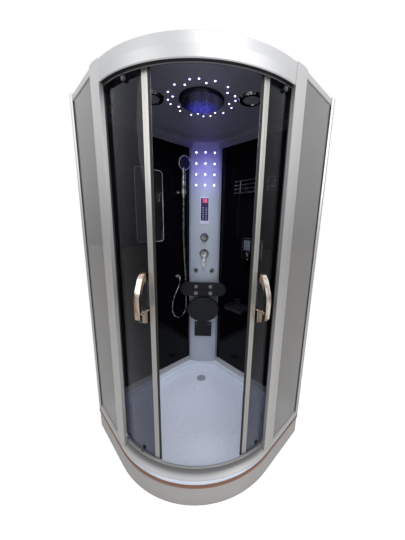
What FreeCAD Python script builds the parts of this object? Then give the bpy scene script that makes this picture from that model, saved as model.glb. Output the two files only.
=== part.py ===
import FreeCAD, Part
import math
import os

# Corner steam shower cabin, millimetres, +Z up.
# Plan: a square with one rounded corner.  The square corner stands in the corner of a room (+Y),
# the rounded front faces -Y, and the two back walls run at 45 degrees to the axes.
# Plan points are given as (u, v): u runs along the left wall, v along the right wall,
# both from the corner.  A point with u = 0 lies on the right wall plane.

os.makedirs("parts", exist_ok=True)
Vec = FreeCAD.Vector
UP = Vec(0, 0, 1)
HALF = math.sqrt(0.5)

# ---------------------------------------------------------------- driving dimensions
SIDE = 1000.0              # length of each back wall
FRONT_RADIUS = 600.0       # rounded front of the tray
TRAY_TOP = 142.0           # top of the tray rim
TRIM_PROUD = 2.5           # copper strip in front of the tray edge
CORNER_ROUND = 8.0         # the three square corners of the tray
LEDGE_TOP = 158.0          # raised ledge that the back walls stand on
BASIN_FLOOR = 108.0
RIM_WIDTH = 70.0
BASIN_FLAT = 168.0         # along each wall, from the basin's corner to its flat back
TRACK_RADIUS = 607.5       # centre line of the curved door track
TRACK_FRONT = 1132.7       # front of the enclosure, measured from the corner
PILLAR_TOP = 2083.0
PILLAR_BACK = 338.0        # near edge of a front pillar, measured along the side glass
ARC_END = 39.5             # degrees from the middle to each end of the header and the bottom rail
UPRIGHT_TOP = 2093.0
HEADER_BOTTOM = 1998.0
CEILING = 2080.0
LAMP_X = 262.0             # middle of a ceiling lamp
LAMP_Y = -722.0
COLUMN_BASE = 160.0
COLUMN_TOP = 2045.0
COLUMN_HALF = 130.0        # half the width of the column
COLUMN_EDGE_Y = -147.0
COLUMN_FRONT_Y = -180.0
BEVEL_HALF = 114.0         # where the bowed front meets the bevelled edge
BEVEL_Y = -163.0
GLASS = 5.0
WALL_IN = 12.0             # inner face of the back walls, from the wall plane

DOOR_INNER = 594.0         # inner face of the curved door glass
DOOR_OUTER = DOOR_INNER + GLASS
DOOR_SPAN = 43.2           # degrees of arc covered by one door
DOOR_BOTTOM = 190.0
DOOR_TOP = 2012.0
LEFT_OPEN = 17.1           # where the photographed doors stand, degrees from the middle
RIGHT_OPEN = 26.2

WHEEL_RADIUS = 12.0
GROOVE_RADIUS = 10.0
WHEEL_LOW = 209.3          # axle height of the lower wheels
WHEEL_HIGH = 1985.7
WHEEL_FRONT = 10.5         # degrees behind the leading edge
WHEEL_REAR = 29.5
AXLE_RADIUS = 3.0
RUNNING = 0.05             # radial play of a pin in its bore

SEAT_AXIS_Y = -207.0
SEAT_AXIS_Z = 556.0
MIXER_Z = 1184.0
DIVERTER_Z = 1320.0
SHOWER_Y = -701.0
DRAIN_Y = -340.0
OUTLET_Z = 42.0            # axis of the waste outlet

FRONT_EXTENT = math.sqrt(2) * (SIDE - FRONT_RADIUS) + FRONT_RADIUS + TRIM_PROUD
BACK_EXTENT = CORNER_ROUND * (math.sqrt(2) - 1)
CENTRE_SHIFT = (FRONT_EXTENT + BACK_EXTENT) / 2
TRACK_CENTRE = Vec(0, -TRACK_FRONT + 620.0, 0)


# ---------------------------------------------------------------- helpers
def plan(u, v, z=0.0):
    return Vec((v - u) * HALF, -(u + v) * HALF, z)


def export(name, shape):
    moved = shape.copy()
    moved.translate(Vec(0, CENTRE_SHIFT, 0))
    moved.exportStep("parts/" + name + ".step")


def mirrored(shape):
    return shape.mirror(Vec(0, 0, 0), Vec(1, 0, 0))


def both(shape):
    return Part.makeCompound([shape, mirrored(shape)])


def fused(shapes):
    return shapes[0].multiFuse(shapes[1:]).removeSplitter()


def face_of(points):
    return Part.Face(Part.makePolygon(points + [points[0]]))


def prism(plan_points, z_low, z_high):
    """Upright prism over a polygon of (u, v) points."""
    base = face_of([plan(u, v, z_low) for u, v in plan_points])
    return base.extrude(UP * (z_high - z_low))


def rod(start, end, radius):
    line = end - start
    return Part.makeCylinder(radius, line.Length, start, line)


def block(x_range, y_range, z_range):
    size = [high - low for low, high in (x_range, y_range, z_range)]
    return Part.makeBox(size[0], size[1], size[2], Vec(x_range[0], y_range[0], z_range[0]))


def ring_sector(profile, start, end, centre=TRACK_CENTRE):
    """Turn an (r, z) outline about a vertical axis, from start to end degrees right of the front."""
    face = face_of([Vec(r, 0, z) for r, z in profile])
    solid = face.revolve(Vec(0, 0, 0), UP, end - start)
    solid.rotate(Vec(0, 0, 0), UP, start - 90)
    solid.translate(centre)
    return solid


def rounded_plate(width, height, radius, depth):
    """Plate in the local Y-Z plane, centred, with its back on x = 0 and growing to x = depth."""
    half_w = width / 2
    half_h = height / 2
    k = radius * (1 - HALF)
    corners = [(half_w, half_h, 1, 1), (-half_w, half_h, -1, 1), (-half_w, -half_h, -1, -1), (half_w, -half_h, 1, -1)]
    edges = []
    ends = []
    for y, z, sy, sz in corners:
        a = Vec(0, y, z - sz * radius)
        b = Vec(0, y - sy * radius, z)
        if sy * sz < 0:
            a, b = b, a
        mid = Vec(0, y - sy * k, z - sz * k)
        edges.append(Part.Arc(a, mid, b).toShape())
        ends.append((a, b))
    for i in range(4):
        first = ends[i][1]
        second = ends[(i + 1) % 4][0]
        if (first - second).Length > 0.001:
            edges.append(Part.LineSegment(first, second).toShape())
    wire = Part.Wire(Part.__sortEdges__(edges))
    return Part.Face(wire).extrude(Vec(depth, 0, 0))


def on_left_wall(shape, s, z, out=0.0):
    """Local x points out of the left wall, local y back towards the corner."""
    shape.translate(Vec(out, 0, z))
    shape.rotate(Vec(0, 0, 0), UP, -45)
    shape.translate(plan(s, 0))
    return shape


def on_right_wall(shape, s, z, out=0.0):
    """Local x points out of the right wall, local y away from the corner."""
    shape.translate(Vec(out, 0, z))
    shape.rotate(Vec(0, 0, 0), UP, -135)
    shape.translate(plan(0, s))
    return shape


def on_door(shape, angle):
    """Local x points outwards from the track centre, local y towards rising angles."""
    shape.rotate(Vec(0, 0, 0), UP, angle - 90)
    shape.translate(TRACK_CENTRE)
    return shape


def flat_back(low, size):
    """Edges across the back corner: a flat between two blends, from the left wall to the right wall."""
    blend = size * 0.36
    t = blend * math.tan(math.pi / 8)
    start = (low + size, low)
    first = (start[0] + t, low)
    middle = (start[0] + 0.0824 * blend * 0.3827, low + 0.0824 * blend * 0.9239)
    last = (start[0] - t * HALF, low + t * HALF)
    half = [first, middle, last]
    other = [(v, u) for u, v in reversed(half)]
    return [
        Part.Arc(*[plan(*point) for point in half]).toShape(),
        Part.LineSegment(plan(*last), plan(*other[0])).toShape(),
        Part.Arc(*[plan(*point) for point in other]).toShape(),
    ]


def tray_outline(offset, corner, back, flat=False):
    """Closed plan wire at an inward offset; the back corner is a small arc or a wide flat."""
    low = offset
    high = SIDE - offset
    centre = SIDE - FRONT_RADIUS
    radius = FRONT_RADIUS - offset
    k = 1 - HALF
    diagonal = centre + radius * HALF
    arcs = [
        ((low + back, low), (low + back * k, low + back * k), (low, low + back)),
        ((low, high - corner), (low + corner * k, high - corner * k), (low + corner, high)),
        ((centre, high), (diagonal, diagonal), (high, centre)),
        ((high, low + corner), (high - corner * k, low + corner * k), (high - corner, low)),
    ]
    edges = [Part.Arc(plan(*a), plan(*m), plan(*b)).toShape() for a, m, b in arcs]
    if flat:
        edges[0:1] = flat_back(low, back)
    ends = [(edge.Vertexes[0].Point, edge.Vertexes[-1].Point) for edge in edges]
    gaps = [(ends[i][1], ends[(i + 1) % len(ends)][0]) for i in range(len(ends))]
    edges += [Part.LineSegment(a, b).toShape() for a, b in gaps if (a - b).Length > 0.001]
    return Part.Wire(Part.__sortEdges__(edges))


def tray_slab(offset, corner, back, z_low, z_high, flat=False):
    face = Part.Face(tray_outline(offset, corner, back, flat))
    face.translate(UP * z_low)
    return face.extrude(UP * (z_high - z_low))


def tray_taper(low_offset, low_z, high_offset, high_z, corner, back):
    low = tray_outline(low_offset, corner, back, True)
    low.translate(UP * low_z)
    high = tray_outline(high_offset, corner, back, True)
    high.translate(UP * high_z)
    return Part.makeLoft([low, high], True, True)


def without_back(shape, margin):
    """Cut away the two strips along the back walls."""
    for strip in ([(-9, -9), (SIDE + 9, -9), (SIDE + 9, margin), (-9, margin)],
                  [(-9, -9), (margin, -9), (margin, SIDE + 9), (-9, SIDE + 9)]):
        shape = shape.cut(prism(strip, -5, 400))
    return shape


# ---------------------------------------------------------------- tray and base
def make_tray():
    rim = tray_slab(0, CORNER_ROUND, CORNER_ROUND, 124, TRAY_TOP)
    rim = rim.cut(tray_slab(5, CORNER_ROUND, CORNER_ROUND, 124, TRAY_TOP - 5))
    well = tray_taper(RIM_WIDTH + 7, BASIN_FLOOR - 5, RIM_WIDTH - 4, TRAY_TOP - 1, 60, BASIN_FLAT)
    hollow = tray_taper(RIM_WIDTH + 12, BASIN_FLOOR, RIM_WIDTH, TRAY_TOP + 17, 60, BASIN_FLAT)
    ledge = tray_slab(4, CORNER_ROUND, CORNER_ROUND, TRAY_TOP - 2, LEDGE_TOP)
    inner = 58.0
    keep_clear = tray_slab(inner, 20, BASIN_FLAT + 12, TRAY_TOP - 2, LEDGE_TOP, True)
    front = prism([(inner, inner), (SIDE + 9, inner), (SIDE + 9, SIDE + 9), (inner, SIDE + 9)],
                  TRAY_TOP - 2, LEDGE_TOP)
    corner_piece = tray_slab(inner, 20, 1, TRAY_TOP - 2, LEDGE_TOP).cut(keep_clear)
    corner_piece = corner_piece.common(prism([(40, 40), (520, 40), (520, 300), (300, 520), (40, 520)],
                                             TRAY_TOP - 2, LEDGE_TOP))
    ledge = ledge.cut(front).fuse(corner_piece)
    for end in ([(-9, 965), (99, 965), (99, 1009), (-9, 1009)], [(965, -9), (1009, -9), (1009, 99), (965, 99)]):
        ledge = ledge.cut(prism(end, TRAY_TOP, LEDGE_TOP))
    tray = fused([rim, well, ledge]).cut(hollow)
    drain = Part.makeCylinder(31, 60, Vec(0, DRAIN_Y, 80))
    return tray.cut(drain)


def make_apron():
    skirt = tray_slab(0, CORNER_ROUND, CORNER_ROUND, 3, 124).cut(tray_slab(3, CORNER_ROUND, CORNER_ROUND, 3, 124))
    foot = tray_slab(3, CORNER_ROUND, CORNER_ROUND, 3, 7).cut(tray_slab(14, CORNER_ROUND, CORNER_ROUND, 3, 7))
    return without_back(skirt.fuse(foot), 20)


def make_trim():
    outer = tray_slab(-TRIM_PROUD, CORNER_ROUND, CORNER_ROUND, 119, 138)
    belly = tray_slab(-TRIM_PROUD + 1.2, CORNER_ROUND, CORNER_ROUND, 117.5, 139.5)
    strip = outer.fuse(belly).cut(tray_slab(0, CORNER_ROUND, CORNER_ROUND, 110, 142))
    return without_back(strip, 14)


def make_base_frame():
    tube = 30.0
    top = BASIN_FLOOR - 5
    low = top - tube
    bars = [
        block((-450, 450), (-535, -505), (low, top)),
        block((-350, 350), (-915, -885), (low, top)),
        block((-245, -215), (-915, -260), (low, top)),
        block((215, 245), (-915, -260), (low, top)),
        block((-245, 245), (-260, -230), (low, top)),
        block((-15, 15), (-1075, -885), (low, top)),
    ]
    solids = [fused(bars)]
    feet = [(-165, -245), (165, -245), (-430, -520), (430, -520), (-330, -900), (330, -900), (0, -1060)]
    for x, y in feet:
        pad = Part.makeCone(24, 20, 12, Vec(x, y, 0))
        stem = Part.makeCylinder(6, low - 12, Vec(x, y, 12))
        nut = Part.makeCylinder(11, 8, Vec(x, y, low - 8))
        solids.append(fused([pad, stem, nut]))
    return Part.makeCompound(solids)


def make_drain_trap():
    cup = Part.makeCylinder(30, BASIN_FLOOR - 14, Vec(0, DRAIN_Y, 14))
    flange = Part.makeCylinder(39, 1.5, Vec(0, DRAIN_Y, BASIN_FLOOR))
    nut = Part.makeCylinder(38, 8, Vec(0, DRAIN_Y, BASIN_FLOOR - 13))
    outlet = rod(Vec(0, DRAIN_Y, OUTLET_Z), Vec(0, -196, OUTLET_Z), 20)
    collar = rod(Vec(0, DRAIN_Y, OUTLET_Z), Vec(0, -296, OUTLET_Z), 24)
    bore = Part.makeCylinder(26, 95, Vec(0, DRAIN_Y, 20))
    outlet_bore = rod(Vec(0, DRAIN_Y, OUTLET_Z), Vec(0, -190, OUTLET_Z), 17)
    return fused([cup, flange, nut, outlet, collar]).cut(bore).cut(outlet_bore)


def make_drain_cover():
    low = BASIN_FLOOR + 1.5
    dome = Part.makeCone(38, 30, 5, Vec(0, DRAIN_Y, low))
    stopper = Part.makeCylinder(20, 14, Vec(0, DRAIN_Y, low - 14))
    stopper = stopper.cut(Part.makeCylinder(17, 14, Vec(0, DRAIN_Y, low - 14)))
    cover = dome.fuse(stopper)
    for step in range(8):
        turn = math.radians(45 * step + 22.5)
        spot = Vec(13 * math.cos(turn), DRAIN_Y + 13 * math.sin(turn), low - 2)
        cover = cover.cut(Part.makeCylinder(2.5, 12, spot))
    return cover


# ---------------------------------------------------------------- back walls, rails and column
def make_wall_glass():
    near = 196.0
    sheet = prism([(WALL_IN - GLASS, near), (WALL_IN, near), (WALL_IN, 985), (WALL_IN - GLASS, 985)], 187, 2012)
    return both(sheet)


def rail(profile, start, end, on_side):
    """Straight channel: profile is (distance, z), run from start to end along the other plan axis."""
    if on_side:
        face = face_of([plan(start, d, z) for d, z in profile])
        return face.extrude(plan(end, 0) - plan(start, 0))
    face = face_of([plan(d, start, z) for d, z in profile])
    return face.extrude(plan(0, end) - plan(0, start))


def make_rails():
    sill = [(2, 158), (25, 158), (22, 172), (15, 198), (12.2, 198), (12.2, 186.5), (6.8, 186.5), (6.8, 198), (2, 198)]
    low = [(979, 142), (994, 142), (993, 164), (991, 168), (989.2, 168), (989.2, 160), (983.8, 160), (983.8, 168),
           (982, 168), (980, 164)]
    high = [(d, CEILING + 142 - z) for d, z in low]
    pieces = [rail(sill, 197, 964, False)] + [rail(edge, 34, PILLAR_BACK - 1, True) for edge in (low, high)]
    return both(Part.makeCompound(pieces))


def column_section(inset, back):
    """Closed plan wire of the column: bowed front, two bevelled edges and two short returns."""
    edge_x = COLUMN_HALF - inset * 0.9
    edge_y = COLUMN_EDGE_Y + inset * 0.5
    bevel_x = BEVEL_HALF - inset * 0.45
    bevel_y = BEVEL_Y + inset
    near = (COLUMN_HALF - COLUMN_EDGE_Y) * HALF - inset
    points = [Vec(bevel_x, bevel_y, 0), Vec(edge_x, edge_y, 0), plan(back, near),
              plan(near, back), Vec(-edge_x, edge_y, 0), Vec(-bevel_x, bevel_y, 0)]
    crown = Vec(0, COLUMN_FRONT_Y + inset, 0)
    edges = [Part.Arc(points[-1], crown, points[0]).toShape()]
    edges += [Part.LineSegment(a, b).toShape() for a, b in zip(points, points[1:])]
    return Part.Wire(edges)


def column_block(inset, back, z_low, z_high):
    face = Part.Face(column_section(inset, back))
    face.translate(UP * z_low)
    return face.extrude(UP * (z_high - z_low))


COLUMN_BODY = column_block(0, 2, COLUMN_BASE - 50, COLUMN_TOP + 50)


def seated(shape):
    """Shape a fitting's back to the bow of the column."""
    return shape.cut(COLUMN_BODY)


def make_column():
    shell = column_block(0, 2, COLUMN_BASE, COLUMN_TOP).cut(column_block(3, -4, COLUMN_BASE - 5, COLUMN_TOP + 5))
    for z in (MIXER_Z, DIVERTER_Z):
        shell = shell.cut(rod(Vec(0, -190, z), Vec(0, -140, z), 15))
    cable_hole = rod(Vec(0, -190, 1540), Vec(0, -150, 1540), 12)
    return shell.cut(cable_hole)


def make_led_lamps():
    lamps = []
    for row in range(4):
        z = 1974 - 80.3 * row
        middle = seated(Part.makeSphere(7, Vec(0, COLUMN_FRONT_Y + 4, z)))
        side = seated(Part.makeSphere(7, Vec(71.5, COLUMN_FRONT_Y + 10, z)))
        lamps += [middle, side, mirrored(side)]
    ring = [(180, 0), (152, 12), (180, 24), (180, 48), (152, 62), (180, 76)]
    for radius, angle in [(radius, angle + quarter) for quarter in (0, 90, 180, 270) for radius, angle in ring]:
        turn = math.radians(angle)
        spot = Vec(radius * math.sin(turn), SHOWER_Y - radius * math.cos(turn), CEILING + 2)
        bead = Part.makeSphere(5, spot)
        lamps.append(bead.cut(block((-300, 300), (-1000, -400), (CEILING, CEILING + 20))))
    return Part.makeCompound(lamps)


def make_control_panel():
    case = rounded_plate(72, 212, 8, 24)
    case.rotate(Vec(0, 0, 0), UP, -90)
    case.translate(Vec(0, -170, 1537))
    recess = block((-31, 31), (-200, -190), (1456, 1632))
    return seated(case).cut(recess)


def make_control_keypad():
    pad = [block((-30.8, 30.8), (-192, -190), (1456.2, 1631.8))]
    for row in range(6):
        for column in (-1, 1):
            z = 1472 + 17 * row
            x = 13 * column
            pad.append(block((x - 8, x + 8), (-193.2, -191.5), (z - 5, z + 5)))
    return fused(pad)


def make_rings():
    """Chrome plates behind the two controls, the two column jets and the four back jets."""
    solids = []
    for z, radius in ((MIXER_Z, 42), (DIVERTER_Z, 38)):
        plate = Part.makeCone(radius, radius - 8, 20, Vec(0, -174, z), Vec(0, -1, 0))
        plate = seated(plate)
        solids.append(plate.cut(rod(Vec(0, -150, z), Vec(0, -200, z), 14.3)))
    for x, y, z, radius in ((-68, -166, 1035, 25), (68, -166, 1035, 25)):
        dome = Part.makeCone(radius, radius - 6, 16, Vec(x, y, z), Vec(0, -1, 0))
        nozzle = Part.makeSphere(11, Vec(x, y - 13, z))
        solids.append(seated(dome.fuse(nozzle)))
    for x in (-62, 62):
        for z in (856, 914):
            ring = Part.makeCylinder(15, 4, Vec(x, -249, z), Vec(0, -1, 0))
            ring = ring.cut(Part.makeCylinder(9, 4, Vec(x, -249, z), Vec(0, -1, 0)))
            bead = Part.makeCylinder(6, 5, Vec(x, -249, z), Vec(0, -1, 0))
            solids.append(ring)
            solids.append(bead)
    return Part.makeCompound(solids)


def make_plumbing():
    """Mixing valve body, two supply tails that point back, and the riser to the roof."""
    back_y = -110.0
    body = [
        rod(Vec(0, back_y, MIXER_Z - 40), Vec(0, back_y, DIVERTER_Z + 30), 17),
        rod(Vec(0, back_y, MIXER_Z), Vec(0, -206, MIXER_Z), 13),
        rod(Vec(0, back_y, DIVERTER_Z), Vec(0, -206, DIVERTER_Z), 8),
        rod(Vec(-45, back_y, MIXER_Z), Vec(45, back_y, MIXER_Z), 11),
        rod(Vec(0, back_y, DIVERTER_Z), Vec(0, back_y, 2110), 8),
        rod(Vec(0, back_y, 2110), Vec(0, SHOWER_Y + 24, 2110), 8),
        Part.makeSphere(8, Vec(0, back_y, 2110)),
    ]
    for x in (-45, 45):
        body.append(Part.makeSphere(11, Vec(x, back_y, MIXER_Z)))
        body.append(rod(Vec(x, back_y, 632), Vec(x, back_y, MIXER_Z), 7))
        body.append(rod(Vec(x, back_y - 12, 632), Vec(x, back_y + 12, 632), 14))
        body.append(rod(Vec(x, back_y, 632), Vec(x, back_y + 32, 632), 10.5))
    return fused(body)


def make_steam_generator():
    tank = block((-46, 46), (-148, -64), (LEDGE_TOP, 480))
    tank = tank.makeFillet(8, [edge for edge in tank.Edges if edge.BoundBox.ZMax > LEDGE_TOP + 1])
    spout = rod(Vec(0, -110, 480), Vec(0, -110, 520), 10)
    controller = block((-40, 40), (-140, -84), (1380, 1500))
    controller = controller.cut(Part.makeCylinder(8, 140, Vec(0, -110, 1370)))
    return Part.makeCompound([tank.fuse(spout), controller])


# ---------------------------------------------------------------- seat and backrest
def make_backrest():
    pad = rounded_plate(392, 116, 57.5, 34)
    pad.rotate(Vec(0, 0, 0), UP, -90)
    pad.translate(Vec(0, -215, 885))
    front = [edge for edge in pad.Edges if edge.BoundBox.YMax < -248]
    pad = pad.makeFillet(9, front)
    boss = rounded_plate(150, 70, 20, 50)
    boss.rotate(Vec(0, 0, 0), UP, -90)
    boss.translate(Vec(0, -166, 885))
    return pad.fuse(seated(boss))


def make_seat_bracket():
    plate = rounded_plate(152, 134, 6, 30)
    plate.rotate(Vec(0, 0, 0), UP, -90)
    plate.translate(Vec(0, -162, 494))
    plate = seated(plate)
    ears = []
    for x in (-57, 43):
        ear = block((x, x + 14), (SEAT_AXIS_Y, -186), (SEAT_AXIS_Z - 16, SEAT_AXIS_Z))
        knuckle = rod(Vec(x, SEAT_AXIS_Y, SEAT_AXIS_Z - 3), Vec(x + 14, SEAT_AXIS_Y, SEAT_AXIS_Z - 3), 13)
        ears.append(ear.fuse(knuckle))
    stop = block((-20, 20), (SEAT_AXIS_Y + 0.2, -188), (523, 541))
    bracket = fused([plate, stop] + ears)
    return bracket.cut(rod(Vec(-70, SEAT_AXIS_Y, SEAT_AXIS_Z), Vec(70, SEAT_AXIS_Y, SEAT_AXIS_Z), 5))


def make_seat_pin():
    shaft = rod(Vec(-60, SEAT_AXIS_Y, SEAT_AXIS_Z), Vec(60, SEAT_AXIS_Y, SEAT_AXIS_Z), 5)
    heads = [rod(Vec(x, SEAT_AXIS_Y, SEAT_AXIS_Z), Vec(x + 3, SEAT_AXIS_Y, SEAT_AXIS_Z), 8) for x in (-60, 57)]
    return fused([shaft] + heads)


def make_seat():
    """Seat in its folded place, standing up against the column."""
    oval = Part.Face(Part.Wire(Part.Ellipse(Vec(0, 0, 0), 138, 110.5).toShape()))
    oval.rotate(Vec(0, 0, 0), Vec(1, 0, 0), 90)
    oval.translate(Vec(0, -219, 704.5))
    disc = oval.extrude(Vec(0, -31, 0))
    disc = disc.makeFillet(9, [edge for edge in disc.Edges if edge.BoundBox.YMax < -249])
    disc = disc.makeFillet(3, [edge for edge in disc.Edges if edge.BoundBox.YMin > -220])
    neck = block((-42, 42), (-240, SEAT_AXIS_Y), (SEAT_AXIS_Z, 640))
    neck = neck.makeFillet(7, [edge for edge in neck.Edges if edge.BoundBox.YMax < -239 and edge.BoundBox.ZMax < 557])
    barrel = rod(Vec(-42, SEAT_AXIS_Y, SEAT_AXIS_Z), Vec(42, SEAT_AXIS_Y, SEAT_AXIS_Z), 12)
    arm = block((-32, 32), (-221, SEAT_AXIS_Y), (640, 720))
    bore = rod(Vec(-50, SEAT_AXIS_Y, SEAT_AXIS_Z), Vec(50, SEAT_AXIS_Y, SEAT_AXIS_Z), 5 + RUNNING)
    return fused([disc, neck.cut(bore), barrel.cut(bore), arm])


# ---------------------------------------------------------------- controls
def make_diverter_knob():
    grip = Part.makeCone(22, 18, 26, Vec(0, -196, DIVERTER_Z), Vec(0, -1, 0))
    for step in range(6):
        turn = math.radians(60 * step)
        spot = Vec(25 * math.cos(turn), -196, DIVERTER_Z + 25 * math.sin(turn))
        grip = grip.cut(Part.makeCylinder(6, 30, spot, Vec(0, -1, 0)))
    socket = rod(Vec(0, -190, DIVERTER_Z), Vec(0, -206.5, DIVERTER_Z), 8 + RUNNING)
    return grip.cut(socket)


def make_mixer_hub():
    hub = rod(Vec(0, -196, MIXER_Z), Vec(0, -232, MIXER_Z), 23)
    socket = rod(Vec(0, -190, MIXER_Z), Vec(0, -206.5, MIXER_Z), 13 + RUNNING)
    slot = block((-9.5, 9.5), (-240, -210), (MIXER_Z - 30, MIXER_Z + 12))
    pin = rod(Vec(-14, -221, MIXER_Z), Vec(14, -221, MIXER_Z), 3)
    return hub.cut(socket).cut(slot).fuse(pin)


def make_mixer_lever():
    knuckle = rod(Vec(-9, -221, MIXER_Z), Vec(9, -221, MIXER_Z), 9)
    points = [Vec(0, -230, MIXER_Z + 4), Vec(0, -214, MIXER_Z - 6), Vec(0, -238, MIXER_Z - 104),
              Vec(0, -246, MIXER_Z - 106), Vec(0, -248, MIXER_Z - 98)]
    blade = face_of(points).extrude(Vec(18, 0, 0)).translated(Vec(-9, 0, 0))
    lever = knuckle.fuse(blade)
    return lever.cut(rod(Vec(-12, -221, MIXER_Z), Vec(12, -221, MIXER_Z), 3 + RUNNING))


# ---------------------------------------------------------------- enclosure frame
def make_uprights():
    section = [(2, 966), (1.5, 995), (5, 999), (22, 1000), (30, 994), (33, 994), (33, 979), (26, 976), (17, 966)]
    post = prism(section, TRAY_TOP, UPRIGHT_TOP)
    top = [edge for edge in post.Edges if edge.BoundBox.ZMin > UPRIGHT_TOP - 1]
    post = post.makeChamfer(2.5, top)
    slot = prism([(6.8, 960), (12.2, 960), (12.2, 985.5), (6.8, 985.5)], 186, 2012)
    return both(post.cut(slot))


def make_pillars():
    section = [(PILLAR_BACK, 976), (PILLAR_BACK, 994), (PILLAR_BACK + 5, 999), (384, 999), (422.4, 992), (420.6, 974)]
    post = prism(section, TRAY_TOP, PILLAR_TOP)
    top = [edge for edge in post.Edges if edge.BoundBox.ZMin > PILLAR_TOP - 1]
    post = post.makeChamfer(3, top)
    return both(post)


def make_side_glass():
    far = PILLAR_BACK - 1
    sheet = prism([(36, 984), (far, 984), (far, 989), (36, 989)], 160.5, CEILING - 18.5)
    return both(sheet)


def make_gaskets():
    far = PILLAR_BACK - 0.2
    pieces = [
        prism([(33.2, 989.2), (38, 989.2), (38, 993), (33.2, 993.5)], 169, 2053),
        prism([(far - 4.8, 989.2), (far, 989.2), (far, 994), (far - 4.8, 993)], 169, 2053),
    ]
    brush = ring_sector([(601, 226), (618, 226), (618, 1968), (601, 1968)], ARC_END + 1.1, ARC_END + 3.3)
    pieces.append(brush.cut(make_pillars()))
    return both(Part.makeCompound(pieces))


def make_header():
    end = ARC_END
    box = [(603, 2000), (628, 2000), (628, 1998), (630, 2002), (631.5, 2040), (630, 2077), (627, 2080), (603, 2080)]
    hollow = [(606, 2003), (627, 2003), (628.5, 2040), (627, 2076), (606, 2076)]
    beam = ring_sector(box, -end, end).cut(ring_sector(hollow, -end - 1, end + 1))
    rib = ring_sector([(606.4, 1996), (608.6, 1996), (608.6, 2001), (606.4, 2001)], -60.5, 60.5)
    tail = [(603, 2000), (612, 2000), (612, 2024), (603, 2024)]
    tails = [ring_sector(tail, end - 0.5, 60.5), ring_sector(tail, -60.5, -end + 0.5)]
    return fused([beam, rib] + tails)


def make_bottom_rail():
    end = ARC_END
    body = [(603, 142), (640, 142), (639, 150), (632, 160), (623, 172), (616, 190), (613, 195), (603, 195)]
    beam = ring_sector(body, -end, end)
    rib = ring_sector([(606.4, 194), (608.6, 194), (608.6, 199), (606.4, 199)], -60.5, 60.5)
    tail = [(603, 142), (612, 142), (612, 195), (603, 195)]
    tails = [ring_sector(tail, end - 0.5, 60.5), ring_sector(tail, -60.5, -end + 0.5)]
    return fused([beam, rib] + tails)


# ---------------------------------------------------------------- roof
def roof_outline(wall, back, reach):
    """Closed plan wire: wall offset, radius of the back corner, and reach of the front arc."""
    edge = 986.0
    centre = TRACK_FRONT / math.sqrt(2) - 620.0 / math.sqrt(2)
    side = centre + math.sqrt(reach ** 2 - (edge - centre) ** 2)
    middle = centre + reach * HALF
    k = 1 - HALF
    corner = Part.Arc(plan(wall + back, wall), plan(wall + back * k, wall + back * k), plan(wall, wall + back))
    front = Part.Arc(plan(side, edge), plan(middle, middle), plan(edge, side))
    points = [plan(wall, wall + back), plan(wall, edge), plan(side, edge)]
    others = [plan(edge, side), plan(edge, wall), plan(wall + back, wall)]
    edges = [corner.toShape()]
    edges += [Part.LineSegment(a, b).toShape() for a, b in zip(points, points[1:])]
    edges.append(front.toShape())
    edges += [Part.LineSegment(a, b).toShape() for a, b in zip(others, others[1:])]
    return Part.Wire(edges)


def roof_slab(wall, back, z_low, z_high, reach=626.5):
    face = Part.Face(roof_outline(wall, back, reach))
    face.translate(UP * z_low)
    return face.extrude(UP * (z_high - z_low))


def make_roof():
    outside = fused([roof_slab(7, 10, 2012, 2017), roof_slab(41, 12, 2015, 2049), roof_slab(71, 226, 2047, 2084)])
    far = 1300.0
    room_low = prism([(45, 45), (far, 45), (far, far), (45, far)], 1990, 2045)
    room_high = roof_slab(75, 226, 2040, CEILING)
    open_front = prism([(310, 310), (far, 310), (far, 986 + 300), (986 + 300, far), (310, far)], 2040, CEILING)
    open_sides = prism([(75, 310), (75, far), (far, far), (far, 75), (310, 75), (310, 310)], 2040, CEILING)
    roof = outside.cut(room_low).cut(room_high).cut(open_front).cut(open_sides)
    roof = roof.cut(column_block(-0.3, 1, 2000, COLUMN_TOP + 0.2))
    roof = roof.cut(ring_sector([(612, 2010), (640, 2010), (640, 2100), (612, 2100)], -ARC_END - 0.9,
                              ARC_END + 0.9))
    openings = [Part.makeCylinder(20, 60, Vec(0, SHOWER_Y, 2060)), Part.makeCylinder(9, 100, Vec(0, -110, 2000))]
    openings += [Part.makeCylinder(46, 60, Vec(x, LAMP_Y, 2060)) for x in (-LAMP_X, LAMP_X)]
    for obstacle in openings + [make_pillars(), make_uprights(), make_rails(), make_side_glass()]:
        roof = roof.cut(obstacle)
    return roof


def make_overhead_shower():
    centre = Vec(0, SHOWER_Y, 0)
    disc = Part.makeCone(114, 122, 8, centre + UP * 2064)
    rim = Part.makeCylinder(122, 8, centre + UP * 2072)
    neck = Part.makeCylinder(19.5, 34, centre + UP * 2080)
    elbow = Part.makeCylinder(14, 20, centre + UP * 2114)
    inlet = rod(Vec(0, SHOWER_Y, 2110), Vec(0, SHOWER_Y + 24, 2110), 12)
    return fused([disc, rim, neck, elbow, inlet])


def make_ceiling_lamps():
    lamps = []
    for x in (-LAMP_X, LAMP_X):
        centre = Vec(x, LAMP_Y, 0)
        ring = Part.makeCone(60, 68, 10, centre + UP * 2070)
        ring = ring.cut(Part.makeCone(46, 42, 6, centre + UP * 2070))
        can = Part.makeCylinder(45, 36, centre + UP * 2080)
        lamps.append(ring.fuse(can))
    return Part.makeCompound(lamps)


# ---------------------------------------------------------------- things on the walls
def make_mirror():
    plate = rounded_plate(216, 506, 28, 5)
    return on_left_wall(plate, 556, 1547, WALL_IN)


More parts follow.
